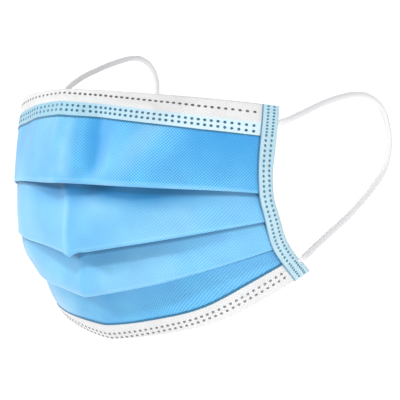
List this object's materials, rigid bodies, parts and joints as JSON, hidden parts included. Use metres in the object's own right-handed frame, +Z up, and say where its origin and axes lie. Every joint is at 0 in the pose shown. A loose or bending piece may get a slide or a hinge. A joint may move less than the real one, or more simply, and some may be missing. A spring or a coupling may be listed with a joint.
{
  "type": "disposable face mask",
  "caption": "Pleated cloth face mask in its worn shape, with a stiffened nose edge, bound side edges and soft elastic ear loops.",
  "frame": {"origin": "on the nose bridge: on the rear face of the top hem, on the centre plane, 4 mm below the top edge", "axes": "the wearer looks along -Y, +Z is up, +X is towards the wearer's left"},
  "size_m": [0.1435, 0.1328, 0.1209],
  "materials": {
    "blue_spunbond": "matt spunbond cloth with a fine embossed grid",
    "white_spunbond": "matt white spunbond cloth",
    "pale_blue_tape": "matt pale-blue spunbond tape with weld dots",
    "coated_wire": "matt coated flat wire",
    "white_elastic": "soft knitted elastic"
  },
  "bodies": {
    "root": {"pleated_panel": "blue_spunbond", "top_hem": "white_spunbond", "bottom_hem": "white_spunbond", "nose_wire": "coated_wire", "side_binding_left": "pale_blue_tape", "side_binding_right": "pale_blue_tape", "ear_loop_left": "white_elastic", "ear_loop_right": "white_elastic"}
  },
  "joints": []
}
